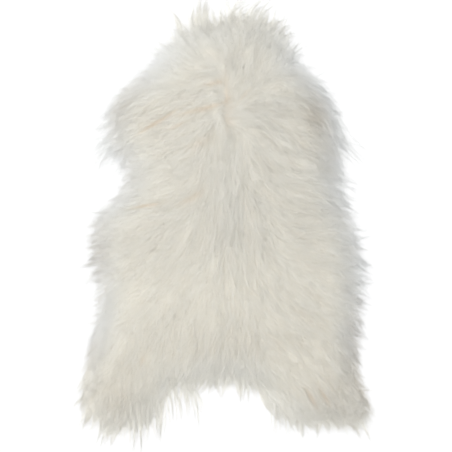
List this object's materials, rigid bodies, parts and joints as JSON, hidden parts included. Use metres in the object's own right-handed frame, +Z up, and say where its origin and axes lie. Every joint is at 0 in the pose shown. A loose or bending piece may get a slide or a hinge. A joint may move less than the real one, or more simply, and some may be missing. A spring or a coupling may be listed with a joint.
{
  "type": "sheepskin rug",
  "caption": "Long-haired white sheepskin laid flat: a tanned hide in its natural outline, with a thick combed fleece that ends in loose locks all round.",
  "frame": {"origin": "middle of the rug's box, on the floor it lies on", "axes": "+Y from the hind legs to the neck, +Z up through the wool, +X to the right seen from above with the neck at the top"},
  "size_m": [0.69, 1.022, 0.0509],
  "materials": {
    "wool": "long soft ivory wool, matt with a faint silky sheen",
    "skin": "suede, pale cream"
  },
  "bodies": {
    "root": {"hide": "skin", "fleece": "wool"}
  },
  "joints": []
}
